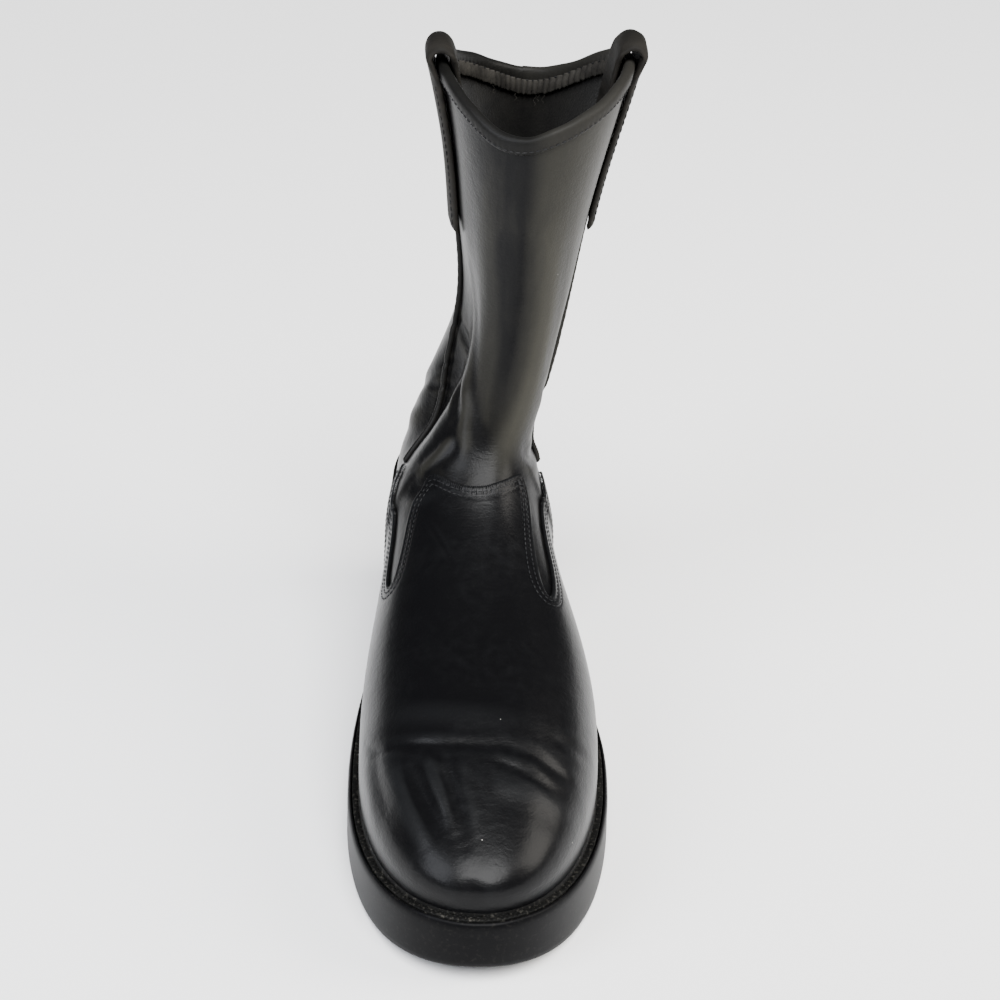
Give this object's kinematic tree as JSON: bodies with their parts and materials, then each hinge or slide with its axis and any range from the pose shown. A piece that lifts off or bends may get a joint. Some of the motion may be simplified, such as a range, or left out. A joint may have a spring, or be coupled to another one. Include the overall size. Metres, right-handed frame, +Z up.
{
  "type": "western boot",
  "caption": "Pull-on western work boot in black leather, left foot, with a tabbed vamp, scalloped collar, pull straps and a thick rubber sole.",
  "frame": {"origin": "middle of the heel's resting face on the floor", "axes": "+Z up along the shaft, -Y towards the toe, +X towards the outer side of the left foot"},
  "size_m": [0.1278, 0.3103, 0.3024],
  "materials": {
    "upper_leather": "worn smooth black leather",
    "vamp_leather": "worn smooth black leather with creases",
    "counter_leather": "worn smooth black leather",
    "piping_leather": "black leather over cord",
    "binding_leather": "rolled black leather edge",
    "strap_leather": "doubled black leather strap with rough edges",
    "insole_board": "dark worn insole",
    "welt_rubber": "black rubber welt",
    "sole_rubber": "matt black rubber"
  },
  "bodies": {
    "root": {"upper": "upper_leather", "vamp": "vamp_leather", "counter": "counter_leather", "seam_piping_medial": "piping_leather", "seam_piping_lateral": "piping_leather", "collar_binding": "binding_leather", "pull_strap_medial": "strap_leather", "pull_strap_lateral": "strap_leather", "insole": "insole_board", "welt": "welt_rubber", "outsole": "sole_rubber", "heel": "sole_rubber"}
  },
  "joints": []
}
